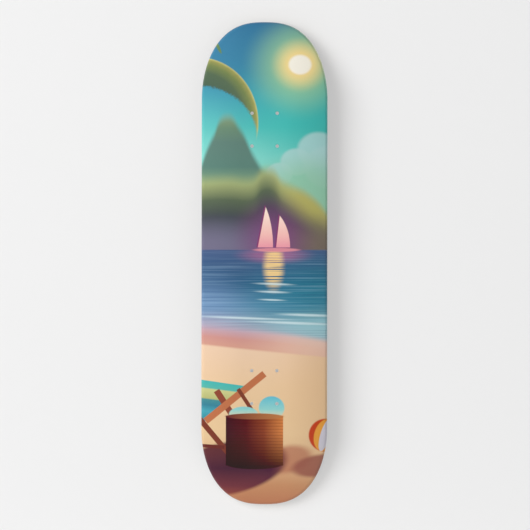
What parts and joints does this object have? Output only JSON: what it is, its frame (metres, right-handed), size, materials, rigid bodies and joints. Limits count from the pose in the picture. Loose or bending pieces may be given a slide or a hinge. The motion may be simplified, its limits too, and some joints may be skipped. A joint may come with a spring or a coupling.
{
  "type": "skateboard deck",
  "caption": "Laminated maple skateboard deck with a concave, upturned nose and tail, truck bolt holes, printed film underneath and grip tape on top.",
  "frame": {"origin": "on the flat of the printed underside, midway between the two truck hole patterns", "axes": "+Z along the deck from the nose up to the tail, +X across the deck, -Y the way the printed underside faces"},
  "size_m": [0.2064, 0.0571, 0.7925],
  "materials": {
    "printed_film": "satin lacquered heat-transfer print",
    "long_grain_maple": "sanded and sealed rotary-cut maple veneer",
    "cross_grain_maple": "sanded and sealed rotary-cut maple veneer, grain across",
    "grip_tape": "coarse silicon carbide grit"
  },
  "bodies": {
    "root": {"printed_film": "printed_film", "bottom_veneer": "long_grain_maple", "lower_long_veneer": "long_grain_maple", "lower_cross_veneer": "cross_grain_maple", "core_veneer": "long_grain_maple", "upper_cross_veneer": "cross_grain_maple", "upper_long_veneer": "long_grain_maple", "top_veneer": "long_grain_maple", "grip_tape": "grip_tape"}
  },
  "joints": []
}
